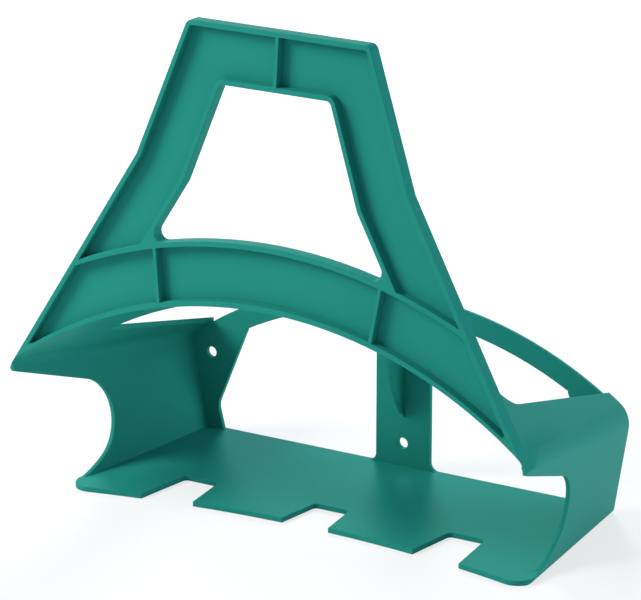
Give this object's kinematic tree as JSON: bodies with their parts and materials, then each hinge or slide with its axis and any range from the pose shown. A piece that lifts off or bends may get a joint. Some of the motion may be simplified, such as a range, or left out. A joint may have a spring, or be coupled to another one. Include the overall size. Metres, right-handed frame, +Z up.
{
  "type": "hose hanger",
  "caption": "One-piece moulded wall hanger for a garden hose: an arched saddle behind a leaning window frame, with a notched shelf between side walls below.",
  "frame": {"origin": "on the wall's face, midway between the two upper screw holes", "axes": "+X to the right along the wall, +Y into the wall, +Z up"},
  "size_m": [0.3044, 0.1481, 0.2671],
  "materials": {
    "green_plastic": "fine satin moulding, teal green through the whole material"
  },
  "bodies": {
    "root": {"hose_hanger": "green_plastic"}
  },
  "joints": []
}
